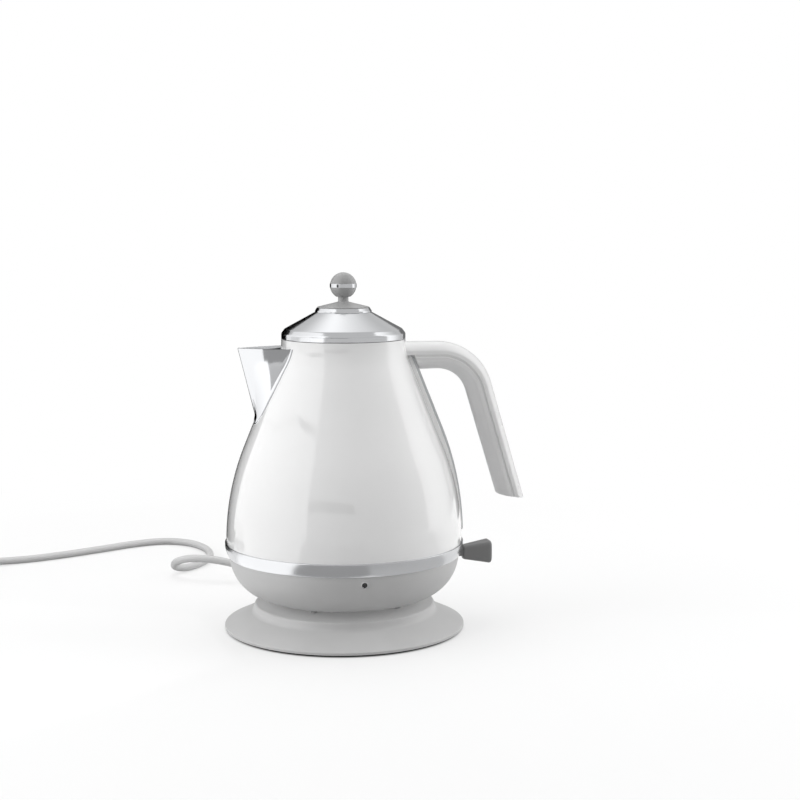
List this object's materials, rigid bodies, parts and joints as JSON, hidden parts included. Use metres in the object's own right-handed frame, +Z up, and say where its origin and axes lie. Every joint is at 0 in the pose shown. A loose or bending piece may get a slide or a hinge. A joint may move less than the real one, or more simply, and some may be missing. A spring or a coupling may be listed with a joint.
{
  "type": "cordless electric kettle",
  "caption": "Bell-shaped cordless electric kettle with beak spout, knobbed lift-off lid, open handle and rear switch, on a round power base with a supply cord and plug.",
  "frame": {"origin": "on the kettle's axis, on the table under the middle of the power base's foot ring", "axes": "+Z up, -X towards the spout, +X towards the handle and switch, -Y towards the pilot lamp"},
  "size_m": [0.5067, 0.4163, 0.2666],
  "materials": {
    "white_gloss": "gloss",
    "white_enamel": "gloss",
    "light_grey_plastic": "satin",
    "grip_grey": "satin",
    "knob_grey": "satin",
    "lever_grey": "satin",
    "chrome": "polished",
    "brushed_band": "brushed",
    "stainless": "satin",
    "window_grey": "clear",
    "pilot_smoke": "gloss",
    "black_plastic": "satin",
    "dark_plastic": "satin",
    "seal_rubber": "matt",
    "foot_rubber": "matt",
    "cord_grey": "satin",
    "brass": "bright",
    "zinc_steel": "zinc plated",
    "spreader_alloy": "satin"
  },
  "bodies": {
    "base": {"base_shell": "light_grey_plastic", "base_cover": "dark_plastic", "base_cover_screws": "zinc_steel", "base_foot_ring": "foot_rubber", "base_connector": "black_plastic", "connector_nut": "black_plastic", "connector_contacts": "brass", "cord_clamp": "dark_plastic", "cord_clamp_screws": "zinc_steel", "cord_strain_relief": "cord_grey", "power_cord": "cord_grey", "power_cord_coil": "cord_grey", "cord_tie": "black_plastic", "plug_body": "cord_grey", "plug_pins": "zinc_steel", "plug_strain_relief": "cord_grey"},
    "coupler": {"kettle_coupler": "black_plastic", "coupler_contacts": "brass"},
    "kettle": {"body_shell": "white_enamel", "spout": "chrome", "spout_filter": "stainless", "mouth_collar": "stainless", "heater_plate": "stainless", "heater_gasket": "seal_rubber", "heat_spreader": "spreader_alloy", "heater_element": "stainless", "thermal_control": "dark_plastic", "bimetal_disc": "stainless", "control_screws": "zinc_steel", "bottom_cover": "light_grey_plastic", "bottom_cover_screws": "zinc_steel", "kettle_feet": "foot_rubber", "trim_band": "brushed_band", "pilot_bezel": "light_grey_plastic", "pilot_lens": "pilot_smoke", "handle_shell": "white_gloss", "handle_grip": "grip_grey", "handle_bracket": "zinc_steel", "handle_screws": "zinc_steel", "gauge_frame": "white_gloss", "gauge_window": "window_grey", "gauge_gasket": "seal_rubber", "steam_tube": "stainless", "lever_bracket": "dark_plastic", "lever_pin": "zinc_steel", "trip_pin": "zinc_steel"},
    "lid": {"lid_shell": "chrome", "lid_step_ring": "chrome", "lid_liner": "dark_plastic", "lid_gasket": "seal_rubber", "knob_seat": "light_grey_plastic", "knob_lower": "knob_grey", "knob_band": "chrome", "knob_upper": "knob_grey", "knob_screw": "zinc_steel"},
    "switch": {"switch_lever": "lever_grey"},
    "trip": {"trip_rocker": "dark_plastic"}
  },
  "joints": [
    {"name": "kettle_lift", "type": "slide", "parent": "base", "child": "coupler", "axis": [0, 0, 1], "range_m": [0, 0.064]},
    {"name": "kettle_swivel", "type": "hinge", "parent": "coupler", "child": "kettle", "pos_m": [0, 0, 0.0446], "axis": [0, 0, 1], "continuous": true},
    {"name": "lid_lift", "type": "slide", "parent": "kettle", "child": "lid", "axis": [0, 0, 1], "range_m": [0, 0.06]},
    {"name": "switch_lever", "type": "hinge", "parent": "kettle", "child": "switch", "pos_m": [0.076, 0, 0.052], "axis": [0, 1, 0], "range_deg": [0, 14]},
    {"name": "trip_rocker", "type": "hinge", "parent": "kettle", "child": "trip", "pos_m": [0.042, 0, 0.052], "axis": [0, 1, 0], "range_deg": [-15, 1]}
  ],
  "couplings": [
    {"joint": "trip_rocker", "follows": "switch_lever", "ratio": -1}
  ]
}
